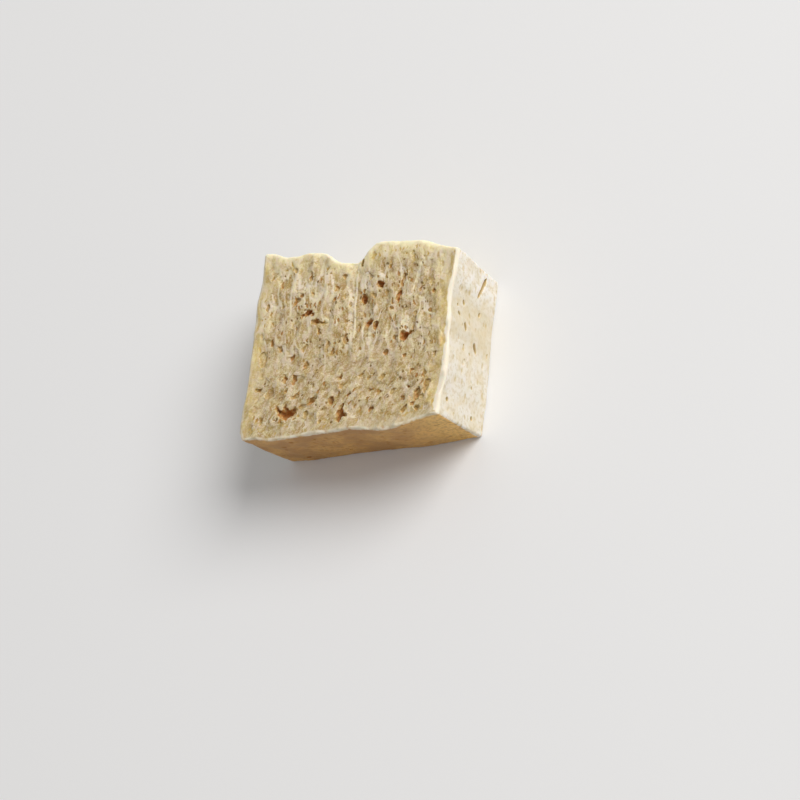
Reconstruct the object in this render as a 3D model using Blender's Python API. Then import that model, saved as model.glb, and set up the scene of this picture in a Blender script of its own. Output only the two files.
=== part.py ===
"""Frozen tofu: one thawed block, lying on its back skin with the torn, spongy face up.

The block is a slab that narrows to the right (+X), with worn arrises, a broken-out notch in its
far edge and a bulge along its near edge. Ice has left the face full of pores: the large ones are
named below, and the small ones and the pits in the skin are scattered by a rule.
"""

import math
import random

import bmesh
import bpy
from mathutils import Matrix, Vector, noise

MM = 0.001

# The slab. "Far" is +Y, "near" is -Y, and every size is of the spongy face unless it says back.
LENGTH = 61.2 * MM
LEFT_WIDTH = 54.0 * MM
RIGHT_WIDTH = 46.6 * MM
THICKNESS = 25.0 * MM
LEFT_SKEW = 0.45 * MM  # how far the left end leans in at its far corner and out at its near one
RIGHT_SKEW = 0.8 * MM
DRAFT = 1.3 * MM  # how far a wall of the slab leans in on its way down to the back
RIGHT_DRAFT = 0.5 * MM
ARRIS = 0.7 * MM  # radius of the worn edges

# Rises and dips of the face's four edges: where each starts, is full, starts to fade and is gone
# along its edge, and its height outwards.
FAR_EDGE = (
    (-27.5 * MM, -23.5 * MM, -20.0 * MM, -15.5 * MM, -1.2 * MM),
    (-12.0 * MM, -4.8 * MM, -0.5 * MM, 5.0 * MM, -3.4 * MM),
    (1.0 * MM, 7.5 * MM, 18.0 * MM, 31.0 * MM, 2.7 * MM),
)
NEAR_EDGE = (
    (-27.0 * MM, -22.0 * MM, 0.0 * MM, 9.0 * MM, 0.9 * MM),
    (0.0 * MM, 12.0 * MM, 15.0 * MM, 27.0 * MM, 2.2 * MM),
)
LEFT_EDGE = (
    (-27.0 * MM, -24.5 * MM, -20.0 * MM, -8.0 * MM, 0.9 * MM),
    (-14.0 * MM, -6.0 * MM, 10.0 * MM, 22.0 * MM, 0.6 * MM),
)
RIGHT_EDGE = (
    (3.0 * MM, 8.0 * MM, 10.0 * MM, 18.0 * MM, -0.9 * MM),
    (-18.0 * MM, -11.0 * MM, -6.0 * MM, 0.0 * MM, 0.8 * MM),
)
EDGE_LEFT_AT_BACK = 0.3  # share of rises, dips and skew that is left at the back of the slab
EDGE_REACH = 4  # power with which a rise fades from its edge to the middle of the face

# The face: walls of collapsed cells, long across the far half and slanting over the near half.
CELL_LONG = 10.0 * MM
CELL_WIDE = 4.8 * MM
CELL_WALL = 0.42  # share of a cell over which its wall falls away
CELL_HEIGHT = 0.75 * MM
FAR_TURN = math.radians(98)
NEAR_TURN = math.radians(38)
TURN_FROM = 3.0 * MM
TURN_TO = -14.0 * MM
VALLEY_START = Vector((-2.4, 25.0)) * MM
VALLEY_END = Vector((5.0, -1.0)) * MM
VALLEY_HALF_WIDTH = 3.6 * MM
VALLEY_DEPTH = 0.9 * MM

# The skin on the walls: soft dimples.
DIMPLE_SIZE = 7.0 * MM
DIMPLE_HEIGHT = 0.35 * MM

# Named pores of the face: x, y, length, width, turn in degrees from +X, depth.
FACE_PORES = (
    (-17.4, -20.2, 5.2, 3.0, -4, 5.0),
    (-0.3, -21.4, 4.8, 2.2, 80, 4.2),
    (3.2, 11.1, 3.0, 2.2, 98, 4.5),
    (5.8, 4.0, 2.9, 2.3, 10, 4.5),
    (17.0, -0.5, 2.8, 2.4, 98, 4.2),
    (8.1, 14.9, 2.7, 1.9, -38, 3.4),
    (-13.7, 8.4, 2.8, 2.0, 20, 3.2),
    (-17.9, 11.7, 3.0, 1.4, 62, 2.6),
    (-11.0, 5.6, 2.9, 1.8, -16, 2.8),
    (-1.0, -0.2, 2.9, 1.8, 98, 3.2),
    (14.4, 11.0, 4.4, 1.4, 82, 2.8),
    (-9.4, -16.8, 4.0, 1.7, 30, 2.8),
    (22.9, -17.4, 4.4, 1.7, 74, 2.6),
    (25.6, -15.2, 4.0, 1.6, 74, 2.4),
    (18.7, -17.9, 1.8, 1.6, 0, 3.0),
    (-3.6, -17.2, 3.1, 1.3, 74, 2.2),
    (-26.7, -4.0, 5.0, 2.4, 112, 1.3),
    (-23.4, -14.2, 3.1, 2.6, 60, 1.1),
    (-18.9, -10.4, 3.1, 1.3, 106, 2.2),
    (-15.8, -10.6, 3.1, 1.2, 70, 2.2),
)
# Lobes that make the outlines of named pores ragged, in the same terms.
PORE_LOBES = (
    (-20.0, -18.9, 2.4, 1.5, -32, 3.0),
    (-15.1, -19.3, 2.6, 1.7, 58, 3.2),
    (-17.9, -18.3, 1.5, 1.1, 90, 2.4),
    (0.2, -19.3, 2.3, 1.3, 74, 3.0),
    (1.4, -21.6, 1.9, 0.9, -6, 1.8),
    (8.0, 3.2, 2.5, 1.9, 84, 3.6),
    (18.7, 0.4, 2.2, 1.0, 26, 2.4),
    (-15.4, 7.4, 1.9, 1.1, 44, 1.9),
    (-12.1, 7.7, 1.6, 1.2, -52, 2.2),
    (-16.5, 13.5, 1.8, 1.2, 20, 2.0),
    (-8.4, 5.1, 3.4, 0.9, -12, 1.7),
    (14.8, 14.6, 3.2, 1.1, 88, 2.2),
    (-12.6, -18.2, 3.6, 0.9, 18, 1.8),
    (22.0, -19.9, 1.9, 1.4, 40, 1.8),
    (24.4, -17.9, 1.9, 1.1, 18, 1.6),
)
# Named pits of the right wall: y, height from the back, length, width, turn from level, depth.
RIGHT_PITS = (
    (18.0, 8.7, 9.0, 1.3, -28, 1.8),
    (4.1, 15.9, 2.6, 1.2, 16, 1.6),
    (-0.2, 9.6, 3.3, 1.3, 32, 1.6),
)

# The scattered pores and pits.
FACE_COUNT = 52
WALL_COUNT = 8
SEED = 29
FACE_MARGIN = 3.0 * MM  # scattered pores keep this far from the face's edges
WALL_MARGIN = 3.4 * MM
PORE_GAP = 0.55 * MM  # what is left standing between two pores
TRIES = 60  # places tried for a scattered pore before it is given up
SINK = 0.2  # share of its depth by which a pore's widest part lies under the surface
ROUGHEN = 0.16  # how far a pore's wall is from an even egg shape

# The mesh: stations along each side, with two more across each worn arris.
LONG_CELLS = 34
WIDE_CELLS = 28
THICK_CELLS = 5

SOY_CREAM = (0.72, 0.58, 0.36, 1.0)
SOY_ROUGHNESS = 0.62


def clear_scene():
    for obj in list(bpy.data.objects):
        bpy.data.objects.remove(obj, do_unlink=True)


def smooth(start, end, value):
    """0 at start and 1 at end, with level ends; it also runs downwards, where end is below start."""
    share = min(max((value - start) / (end - start), 0.0), 1.0)
    return share * share * (3 - 2 * share)


def rises(edge, along):
    """How far an edge stands out at a place along it."""
    total = 0.0
    for start, full, fade, gone, height in edge:
        total += height * smooth(start, full, along) * (1 - smooth(fade, gone, along))
    return total


def slab_point(nominal):
    """Where a point of the even box, centred on x and y with its back at z = 0, lies on the slab."""
    right = nominal.x / (LENGTH / 2)
    far = nominal.y / (LEFT_WIDTH / 2)
    up = nominal.z / THICKNESS
    kept = EDGE_LEFT_AT_BACK + (1 - EDGE_LEFT_AT_BACK) * up
    end_draft, skew = (RIGHT_DRAFT, RIGHT_SKEW) if right > 0 else (DRAFT, LEFT_SKEW)
    half_width = (LEFT_WIDTH * (1 - right) + RIGHT_WIDTH * (1 + right)) / 4
    x = right * (LENGTH / 2 - end_draft * (1 - up)) + kept * abs(right) * far * skew
    y = far * (half_width - DRAFT * (1 - up))
    far_rise = rises(FAR_EDGE, x) * max(far, 0) ** EDGE_REACH
    near_rise = rises(NEAR_EDGE, x) * max(-far, 0) ** EDGE_REACH
    right_rise = rises(RIGHT_EDGE, y) * max(right, 0) ** EDGE_REACH
    left_rise = rises(LEFT_EDGE, y) * max(-right, 0) ** EDGE_REACH
    return Vector((x + kept * (right_rise - left_rise), y + kept * (far_rise - near_rise), nominal.z))


def cell_walls(x, y, turn):
    """1 on the wall between two cells of the face and 0 inside them, for cells that lie along turn."""
    along = (x * math.cos(turn) + y * math.sin(turn)) / CELL_LONG
    across = (y * math.cos(turn) - x * math.sin(turn)) / CELL_WIDE
    distances = noise.voronoi(Vector((along, across, 0.5)))[0]
    return 1 - smooth(0.0, CELL_WALL, distances[1] - distances[0])


def valley(x, y):
    """1 along the bottom of the valley that runs in from the notch, and 0 away from it."""
    place = Vector((x, y))
    run = VALLEY_END - VALLEY_START
    share = (place - VALLEY_START).dot(run) / run.length_squared
    off = (place - VALLEY_START - run * share).length / VALLEY_HALF_WIDTH
    return math.exp(-off * off) * (1 - smooth(0.6, 1.15, share))


def face_relief(x, y):
    """How far the spongy face stands above its flat level."""
    slant = smooth(TURN_FROM, TURN_TO, y)
    walls = cell_walls(x, y, FAR_TURN) * (1 - slant) + cell_walls(x, y, NEAR_TURN) * slant
    return CELL_HEIGHT * (walls - 0.6) - VALLEY_DEPTH * valley(x, y)


def skin_relief(place):
    return DIMPLE_HEIGHT * noise.noise(place / DIMPLE_SIZE)


def surface_point(nominal, outward):
    """The finished surface at a point of the even box, given the way that the surface faces there."""
    place = slab_point(nominal)
    skin = skin_relief(place)
    up = max(outward.z, 0.0)
    place.x += outward.x * skin
    place.y += outward.y * skin
    place.z += up * face_relief(place.x, place.y)
    return place


def stations(half, cells):
    """Places of the mesh lines from -half to half: even, but for two across each worn arris."""
    inner = half - ARRIS
    even = [inner * (2 * i / cells - 1) for i in range(cells + 1)]
    return [-half, -half + ARRIS / 2, *even, half - ARRIS / 2, half]


def worn(place, half):
    """A point of the even box moved onto its worn arrises, and the way that the surface faces there."""
    core = Vector([min(max(p, ARRIS - h), h - ARRIS) for p, h in zip(place, half)])
    outward = (place - core).normalized()
    return core + ARRIS * outward, outward


def add_side(bm, lines, corner, fixed):
    """The grid of faces on one side of the box: fixed is its axis, and whether it is the upper end."""
    axis, is_upper = fixed
    first, second = [(1, 2), (2, 0), (0, 1)][axis]
    layer = len(lines[axis]) - 1 if is_upper else 0
    for i in range(len(lines[first]) - 1):
        for j in range(len(lines[second]) - 1):
            ring = []
            for step in ((0, 0), (1, 0), (1, 1), (0, 1)):
                index = [0, 0, 0]
                index[axis] = layer
                index[first] = i + step[0]
                index[second] = j + step[1]
                ring.append(corner(tuple(index)))
            bm.faces.new(ring if is_upper else ring[::-1])


def block_mesh():
    """The slab with its relief, before any pore, as one closed mesh with a flat back."""
    half = (LENGTH / 2, LEFT_WIDTH / 2, THICKNESS / 2)
    lines = [stations(h, n) for h, n in zip(half, (LONG_CELLS, WIDE_CELLS, THICK_CELLS))]
    bm = bmesh.new()
    made = {}

    def corner(index):
        if index not in made:
            place = Vector([lines[axis][index[axis]] for axis in range(3)])
            rounded, outward = worn(place, half)
            rounded.z += THICKNESS / 2
            made[index] = bm.verts.new(surface_point(rounded, outward))
        return made[index]

    for axis in range(3):
        add_side(bm, lines, corner, (axis, False))
        add_side(bm, lines, corner, (axis, True))
    level = [face for face in bm.faces if all(abs(v.co.z) < 0.001 * MM for v in face.verts)]
    bmesh.ops.dissolve_faces(bm, faces=level, use_verts=True)
    mesh = bpy.data.meshes.new("tofu_block")
    bm.to_mesh(mesh)
    bm.free()
    return mesh


def face_place(x, y):
    """The frame of a pore at x, y on the spongy face: its place, the way out, and which way is level."""
    return Vector((x, y, THICKNESS + face_relief(x, y))), Vector((0, 0, 1)), Vector((1, 0, 0))


def wall_place(outward, along, height):
    """The same for a pit in a wall, along being its distance from the wall's middle."""
    sideways = Vector((0, 0, 1)).cross(outward)
    reach = Vector((outward.x * LENGTH / 2, outward.y * LEFT_WIDTH / 2, height))
    stretch = LEFT_WIDTH / RIGHT_WIDTH if outward.x > 0 else 1.0
    place = surface_point(reach + sideways * along * stretch, outward)
    return place, outward, sideways


def add_pore(bm, rng, frame, size, turn, rings):
    """One cutter: an uneven egg with the pore's length, width and depth, sunk a little way in."""
    place, outward, level = frame
    length, width, depth = size
    basis = Matrix((level, outward.cross(level), outward)).transposed()
    spin = Matrix.Rotation(math.radians(turn), 3, "Z")
    egg = bmesh.ops.create_icosphere(bm, subdivisions=rings, radius=1.0)["verts"]
    for vert in egg:
        co = vert.co * (1 + ROUGHEN * rng.uniform(-1, 1))
        co = Vector((co.x * length / 2, co.y * width / 2, (co.z - SINK) * depth))
        vert.co = place + basis @ (spin @ co)


def is_clear(place, radius, taken):
    return all((place - other).length > radius + other_radius + PORE_GAP for other, other_radius in taken)


def scatter(bm, rng, count, taken, pick):
    """Adds up to count pores where pick puts them, each clear of those that are already there."""
    for _ in range(count):
        for _ in range(TRIES):
            frame, size, turn = pick()
            radius = max(size[0], size[1]) / 2
            if is_clear(frame[0], radius, taken):
                taken.append((frame[0], radius))
                add_pore(bm, rng, frame, size, turn, 1)
                break


def pick_face_pore(rng):
    """A small pore of the face, lying roughly along the cells there."""
    x = rng.uniform(-1, 1) * (LENGTH / 2 - FACE_MARGIN)
    y = rng.uniform(-1, 1) * (RIGHT_WIDTH / 2 - FACE_MARGIN / 2)
    width = rng.uniform(0.9, 1.5) * MM
    length = width * rng.uniform(1.1, 2.4)
    slant = smooth(TURN_FROM, TURN_TO, y)
    turn = math.degrees(FAR_TURN * (1 - slant) + NEAR_TURN * slant) + rng.uniform(-30, 30)
    return face_place(x, y), (length, width, rng.uniform(1.0, 2.0) * MM), turn


def pick_wall_pit(rng, outward):
    """A pit of a wall's skin, longest roughly across the slab's thickness."""
    run = RIGHT_WIDTH if outward.x else LENGTH
    along = rng.uniform(-1, 1) * (run / 2 - WALL_MARGIN)
    height = rng.uniform(WALL_MARGIN, THICKNESS - WALL_MARGIN)
    width = rng.uniform(0.8, 1.3) * MM
    length = width * rng.uniform(1.0, 2.0)
    turn = rng.uniform(-35, 35)
    return wall_place(outward, along, height), (length, width, rng.uniform(0.7, 1.2) * MM), turn


def pore_mesh():
    """All the pores and pits, as closed shells that don't touch."""
    rng = random.Random(SEED)
    bm = bmesh.new()
    taken = []
    for x, y, length, width, turn, depth in FACE_PORES:
        frame = face_place(x * MM, y * MM)
        taken.append((frame[0], length * MM / 2))
        add_pore(bm, rng, frame, (length * MM, width * MM, depth * MM), turn, 2)
    for y, height, length, width, turn, depth in RIGHT_PITS:
        frame = wall_place(Vector((1, 0, 0)), y * MM, height * MM)
        taken.append((frame[0], length * MM / 2))
        add_pore(bm, rng, frame, (length * MM, width * MM, depth * MM), turn, 2)
    scatter(bm, rng, FACE_COUNT, taken, lambda: pick_face_pore(rng))
    for outward in (Vector((1, 0, 0)), Vector((0, 1, 0)), Vector((-1, 0, 0)), Vector((0, -1, 0))):
        scatter(bm, rng, WALL_COUNT, taken, lambda: pick_wall_pit(rng, outward))
    mesh = bpy.data.meshes.new("pores")
    bm.to_mesh(mesh)
    bm.free()
    return mesh


def lobe_mesh():
    """The lobes of the named pores, as closed shells that don't touch one another."""
    rng = random.Random(SEED + 1)
    bm = bmesh.new()
    for x, y, length, width, turn, depth in PORE_LOBES:
        size = (length * MM, width * MM, depth * MM)
        add_pore(bm, rng, face_place(x * MM, y * MM), size, turn, 1)
    mesh = bpy.data.meshes.new("lobes")
    bm.to_mesh(mesh)
    bm.free()
    return mesh


def soy_material():
    material = bpy.data.materials.new("thawed_tofu")
    material.use_nodes = True
    shader = material.node_tree.nodes["Principled BSDF"]
    shader.inputs["Base Color"].default_value = SOY_CREAM
    shader.inputs["Roughness"].default_value = SOY_ROUGHNESS
    shader.inputs["Metallic"].default_value = 0.0
    return material


def cut_away(block, mesh):
    """Cuts the shells of a mesh out of the block, and removes their cutter."""
    cutter = bpy.data.objects.new(mesh.name, mesh)
    bpy.context.scene.collection.objects.link(cutter)
    cutter.hide_render = True
    cutter.display_type = "WIRE"
    cut = block.modifiers.new(mesh.name, "BOOLEAN")
    cut.operation = "DIFFERENCE"
    cut.solver = "EXACT"
    cut.object = cutter
    bpy.context.view_layer.objects.active = block
    with bpy.context.temp_override(object=block, active_object=block, selected_objects=[block]):
        bpy.ops.object.modifier_apply(modifier=cut.name)
    bpy.data.objects.remove(cutter, do_unlink=True)


def centre_on_base(block):
    """Moves the mesh so that the middle of its box is over the origin."""
    for axis in range(2):
        places = [vert.co[axis] for vert in block.data.vertices]
        middle = (min(places) + max(places)) / 2
        for vert in block.data.vertices:
            vert.co[axis] -= middle


def tofu_block():
    block = bpy.data.objects.new("tofu_block", block_mesh())
    bpy.context.scene.collection.objects.link(block)
    block.data.materials.append(soy_material())
    cut_away(block, pore_mesh())
    cut_away(block, lobe_mesh())
    centre_on_base(block)
    return block


clear_scene()
tofu_block()
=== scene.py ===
# %% [markdown]
# # A block of thawed frozen tofu
#
# Tofu that is frozen and thawed turns into a sponge: the ice pushes the soy curd aside, and leaves
# holes when it melts. This script dresses one such block. The plain solid comes from the packed
# frame, and everything that makes it look like food is added here, step by step.

# %% The frame
import math
import random
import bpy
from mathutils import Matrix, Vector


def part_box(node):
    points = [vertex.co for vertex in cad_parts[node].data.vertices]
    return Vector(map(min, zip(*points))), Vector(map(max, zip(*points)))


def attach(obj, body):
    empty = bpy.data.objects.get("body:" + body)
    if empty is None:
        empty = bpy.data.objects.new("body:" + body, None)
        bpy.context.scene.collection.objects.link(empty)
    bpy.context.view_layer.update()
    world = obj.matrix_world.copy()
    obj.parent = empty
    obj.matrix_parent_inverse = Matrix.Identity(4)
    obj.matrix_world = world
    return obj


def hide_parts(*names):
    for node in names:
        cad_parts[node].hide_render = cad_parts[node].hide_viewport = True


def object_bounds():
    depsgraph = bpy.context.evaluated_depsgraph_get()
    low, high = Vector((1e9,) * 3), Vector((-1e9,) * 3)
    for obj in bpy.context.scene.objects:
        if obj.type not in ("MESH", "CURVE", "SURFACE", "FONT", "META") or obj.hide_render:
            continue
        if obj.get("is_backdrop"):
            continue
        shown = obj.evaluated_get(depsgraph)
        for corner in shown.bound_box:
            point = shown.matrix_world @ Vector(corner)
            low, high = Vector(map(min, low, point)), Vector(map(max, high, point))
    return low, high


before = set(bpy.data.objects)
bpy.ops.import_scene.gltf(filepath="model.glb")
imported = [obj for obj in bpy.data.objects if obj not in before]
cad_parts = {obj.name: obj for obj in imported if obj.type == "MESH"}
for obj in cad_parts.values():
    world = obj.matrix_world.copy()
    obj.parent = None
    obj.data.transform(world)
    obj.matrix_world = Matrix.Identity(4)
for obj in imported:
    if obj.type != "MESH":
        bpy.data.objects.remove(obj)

from types import SimpleNamespace

import bpy
import numpy as np
from mathutils import Euler, Matrix, Vector, kdtree
from mathutils.bvhtree import BVHTree

MM = 0.001
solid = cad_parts["tofu_block"]
cad_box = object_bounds()
low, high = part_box("tofu_block")
print("block", [round(side / MM, 1) for side in high - low], "mm")

# %% [markdown]
# ## Camera
#
# The block is photographed from its narrow end, from high up, with the camera rolled so that the
# far long edge is at the top of the picture. A long lens from 0.8 m keeps the edges nearly parallel.
# The camera could track an empty, but plain angles say the same in one line.

# %% Camera
CAMERA_PLACE = Vector((412.8, -249.7, 669.5)) * MM
CAMERA_TURN = (20.316, 29.565, 6.509)  # degrees about X, Y and Z

lens = bpy.data.cameras.new("camera")
lens.sensor_width = 36.0
lens.lens = 135.0
camera = bpy.data.objects.new("camera", lens)
camera.location = CAMERA_PLACE
camera.rotation_euler = Euler([math.radians(turn) for turn in CAMERA_TURN])
bpy.context.scene.collection.objects.link(camera)
bpy.context.scene.camera = camera
print("camera", round(camera.location.length, 3), "m from the block")

# %% [markdown]
# ## Small tools
#
# An operator acts on everything that is selected, so each one gets a fresh selection. A modifier is
# added and applied in one go, so that the finished mesh holds its shape by itself.


# %% Selecting and applying
def pick_only(*objects):
    bpy.ops.object.select_all(action="DESELECT")
    for obj in objects:
        obj.select_set(True)
    bpy.context.view_layer.objects.active = objects[0]


def apply_modifier(obj, kind, **settings):
    pick_only(obj)
    modifier = obj.modifiers.new(kind.lower(), kind)
    for name, value in settings.items():
        setattr(modifier, name, value)
    bpy.ops.object.modifier_apply(modifier=modifier.name)
    print(obj.name, kind.lower(), len(obj.data.vertices), "points")


# %% [markdown]
# ## Wiring patterns
#
# The same pattern has to shape the mesh and colour it, or the light cell walls would not sit on the
# ridges. Geometry Nodes and shader nodes share their texture and maths nodes, so one set of small
# functions can wire a pattern in either kind of tree. Lengths in a pattern are in millimetres.


# %% Node helpers
def feed(tree, socket, value):
    if isinstance(value, bpy.types.NodeSocket):
        tree.links.new(value, socket)
    else:
        socket.default_value = value


def maths(tree, operation, *values):
    node = tree.nodes.new("ShaderNodeMath")
    node.operation = operation
    for socket, value in zip(node.inputs, values):
        feed(tree, socket, value)
    return node.outputs[0]


def times(tree, *values):
    product = values[0]
    for value in values[1:]:
        product = maths(tree, "MULTIPLY", product, value)
    return product


def vector_maths(tree, operation, first, second):
    node = tree.nodes.new("ShaderNodeVectorMath")
    node.operation = operation
    feed(tree, node.inputs[0], first)
    second_input = 3 if operation == "SCALE" else 1  # the factor of SCALE is the fourth input
    feed(tree, node.inputs[second_input], second)
    return node.outputs[0]


def axes(tree, place):
    """The x, y and z of a place."""
    split = tree.nodes.new("ShaderNodeSeparateXYZ")
    feed(tree, split.inputs[0], place)
    return split.outputs


def ease(tree, value, start, end):
    """0 at start, 1 at end, smooth between them."""
    node = tree.nodes.new("ShaderNodeMapRange")
    node.interpolation_type = "SMOOTHSTEP"
    feed(tree, node.inputs["Value"], value)
    node.inputs["From Min"].default_value = start
    node.inputs["From Max"].default_value = end
    return node.outputs["Result"]


def blend_values(tree, share, first, second):
    """A Mix node keeps its numbers in inputs 2 and 3."""
    node = tree.nodes.new("ShaderNodeMix")
    node.data_type = "FLOAT"
    feed(tree, node.inputs[0], share)
    feed(tree, node.inputs[2], first)
    feed(tree, node.inputs[3], second)
    return node.outputs[0]


def noise(tree, place, size, detail=2.0, output=0):
    node = tree.nodes.new("ShaderNodeTexNoise")
    feed(tree, node.inputs["Vector"], place)
    node.inputs["Scale"].default_value = 1 / size
    node.inputs["Detail"].default_value = detail
    return node.outputs[output]


def voronoi(tree, place, feature, dimensions="2D"):
    node = tree.nodes.new("ShaderNodeTexVoronoi")
    node.voronoi_dimensions = dimensions
    node.feature = feature
    feed(tree, node.inputs["Vector"], place)
    node.inputs["Scale"].default_value = 1.0
    return node


# %% [markdown]
# ## Building stones of the patterns
#
# Ice leaves cells with walls, pits where a cell is torn open, and strands. A Voronoi texture gives
# the cells and the pits, and a line where a noise crosses its middle value gives the strands. Each
# stone takes a place that is measured in cells, so one stone serves for every size and direction. A
# noise seldom leaves the range from 0.3 to 0.7, so the limits that cut a stretch out of it are close.


# %% Cells, pits, strands and spots
def along_cells(tree, place, turn, long, wide, shift):
    """The place turned so that its first axis runs along the cells, in units of one cell.

    A shift of its own gives each layer another part of the texture.
    """
    node = tree.nodes.new("ShaderNodeVectorRotate")
    node.rotation_type = "Z_AXIS"
    feed(tree, node.inputs["Vector"], place)
    node.inputs["Angle"].default_value = -turn
    stretched = vector_maths(tree, "MULTIPLY", node.outputs[0], (1 / long, 1 / wide, 0))
    return vector_maths(tree, "ADD", stretched, (shift, shift, 0))


def warp(tree, place, size, reach):
    """The place pushed about by up to a third or so of reach, in waves of a size."""
    push = vector_maths(tree, "SUBTRACT", noise(tree, place, size, 3.0, output=1), (0.5, 0.5, 0.5))
    return vector_maths(tree, "ADD", place, vector_maths(tree, "SCALE", push, reach))


def sway(tree, place, waves):
    """The place warped by waves of several sizes, each with its reach."""
    for size, reach in waves:
        place = warp(tree, place, size, reach)
    return place


def spots(tree, place, places):
    """1 in ragged spots on the face, 0 elsewhere. Each is x, y, length along Y and width, in millimetres."""
    ragged = warp(tree, place, size=1.5, reach=1.8)
    share = 0.0
    for x, y, long, wide in places:
        off = vector_maths(tree, "SUBTRACT", ragged, (x, y, 0))
        off = vector_maths(tree, "MULTIPLY", off, (2 / wide, 2 / long, 0))
        distance = tree.nodes.new("ShaderNodeVectorMath")
        distance.operation = "LENGTH"
        feed(tree, distance.inputs[0], off)
        share = maths(tree, "MAXIMUM", share, ease(tree, distance.outputs["Value"], 1.2, 0.6))
    return share


def own_value(tree, grain):
    """A random value that is the same all over one cell."""
    return axes(tree, grain.outputs["Color"])["X"]


def cells(tree, cell_place):
    """Hollows and walls: each cell has sunk by a depth of its own."""
    edge = voronoi(tree, cell_place, "DISTANCE_TO_EDGE").outputs["Distance"]
    own = own_value(tree, voronoi(tree, cell_place, "F1"))
    return times(tree, ease(tree, own, 0.1, 0.9), ease(tree, edge, 0.06, 0.3)), ease(tree, edge, 0.3, 0.06)


def pits(tree, cell_place, share, outer, inner):
    """Pits in a share of the cells, from nothing at the outer radius to full depth at the inner."""
    grain = voronoi(tree, cell_place, "F1")
    chosen = ease(tree, own_value(tree, grain), 1 - share, 1.15 - share)
    return times(tree, chosen, ease(tree, grain.outputs["Distance"], outer, inner))


def strands(tree, cell_place, width):
    """Lines where a noise crosses its middle value."""
    off = maths(tree, "ABSOLUTE", maths(tree, "SUBTRACT", noise(tree, cell_place, 1.0), 0.5))
    return ease(tree, off, width, width * 0.25)


def stack_heights(tree, layers, heights, sink):
    """What the layers of a pattern add up to, in millimetres, less what the whole sinks."""
    height = -sink
    for name, share in heights:
        height = maths(tree, "MULTIPLY_ADD", layers[name], share, height)
    return height


# %% [markdown]
# ## The torn face
#
# The face is a sponge of collapsed cells. Pale sheets of soy stand between tan hollows, bright
# strands run through them, and pits open where a cell is torn. Over the far half all of it runs up
# the picture, and over the near half it slants, so the pattern is wired twice, once for each
# direction, and blended. Noise that pushes the place about makes every outline ragged, and the pits
# crowd in patches and leave others clear.


# %% Pattern of the torn face
FAR_TURN, NEAR_TURN = math.radians(98), math.radians(56)  # the way that the cells run, from +X
SLANT_FROM, SLANT_TO = 3.0, -14.0  # y where the direction starts to turn, and where it has turned

# Size of the waves that push the place about, and their reach.
SWAY = ((5.0, 1.8), (1.6, 1.1), (0.6, 0.5), (0.3, 0.18))
CALM_SWAY = ((5.0, 1.6), (1.2, 0.5))

# Length and width of a cell, a sheet and a strand, and how wide a band of the noise is a strand.
FAR_LAYER = {"cell": (4.2, 2.6), "sheet": (6.5, 2.1), "strand": (14.0, 4.4), "strand_width": 0.045}
NEAR_LAYER = {"cell": (4.2, 3.2), "sheet": (4.4, 2.3), "strand": (8.0, 4.0), "strand_width": 0.01}

# Length and width of what is the same on both halves, and the size of the patches where pits crowd.
GRAIN, FLECK = (1.8, 1.1), (1.5, 0.6)
PIT, SMALL_PIT = (3.2, 1.4), (1.9, 1.2)
PIT_PATCH = 6.5

# How far each layer rises, in millimetres, and what the whole face sinks to make up for it.
TORN_HEIGHTS = (
    ("hole", -0.025), ("sheet", 0.03), ("vein", 0.02), ("crease", 0.16), ("crumb", 0.06),
    ("grain", -0.03), ("pit", -0.17), ("small_pit", -0.1),
)
TORN_SINK = 0.08

# The crease: where it starts on the notch, how far it runs in, and how much it bends.
CREASE_X, CREASE_Y = 0.6, 22.0
CREASE_LENGTH = 24.0
CREASE_BEND = 0.0025


def fibre_layer(tree, place, calm_place, turn, sizes):
    """Everything on the face that runs one way."""
    sheet = noise(tree, along_cells(tree, place, turn, *sizes["sheet"], 31.0), 1.0, 5.0)
    sheet.node.inputs["Roughness"].default_value = 0.62
    grain = noise(tree, along_cells(tree, place, turn, *GRAIN, 37.0), 1.0, 3.0)
    fleck = noise(tree, along_cells(tree, calm_place, turn, *FLECK, 53.0), 1.0, 2.0)
    hole, wall = cells(tree, along_cells(tree, place, turn, *sizes["cell"], 3.0))
    strand_place = along_cells(tree, calm_place, turn, *sizes["strand"], 23.0)
    return {
        "hole": hole,
        "wall": wall,
        "sheet": ease(tree, sheet, 0.46, 0.58),
        "grain": ease(tree, grain, 0.45, 0.6),
        "fleck": ease(tree, fleck, 0.52, 0.66),
        "vein": strands(tree, strand_place, sizes["strand_width"]),
        "pit": pits(tree, along_cells(tree, place, turn, *PIT, 43.0), 0.34, 0.3, 0.06),
        "small_pit": pits(tree, along_cells(tree, place, turn, *SMALL_PIT, 47.0), 0.38, 0.26, 0.12),
    }


def crease(tree, x, y):
    """The long ridge beside the valley, which runs in from the notch."""
    from_notch = maths(tree, "SUBTRACT", CREASE_Y, y)
    middle = maths(tree, "MULTIPLY_ADD", times(tree, from_notch, from_notch), CREASE_BEND, CREASE_X)
    off = maths(tree, "ABSOLUTE", maths(tree, "SUBTRACT", x, middle))
    tail = ease(tree, from_notch, CREASE_LENGTH, CREASE_LENGTH - 5)
    reach = times(tree, tail, ease(tree, from_notch, 0, 2))
    return times(tree, ease(tree, off, 0.5, 0.1), reach)


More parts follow.
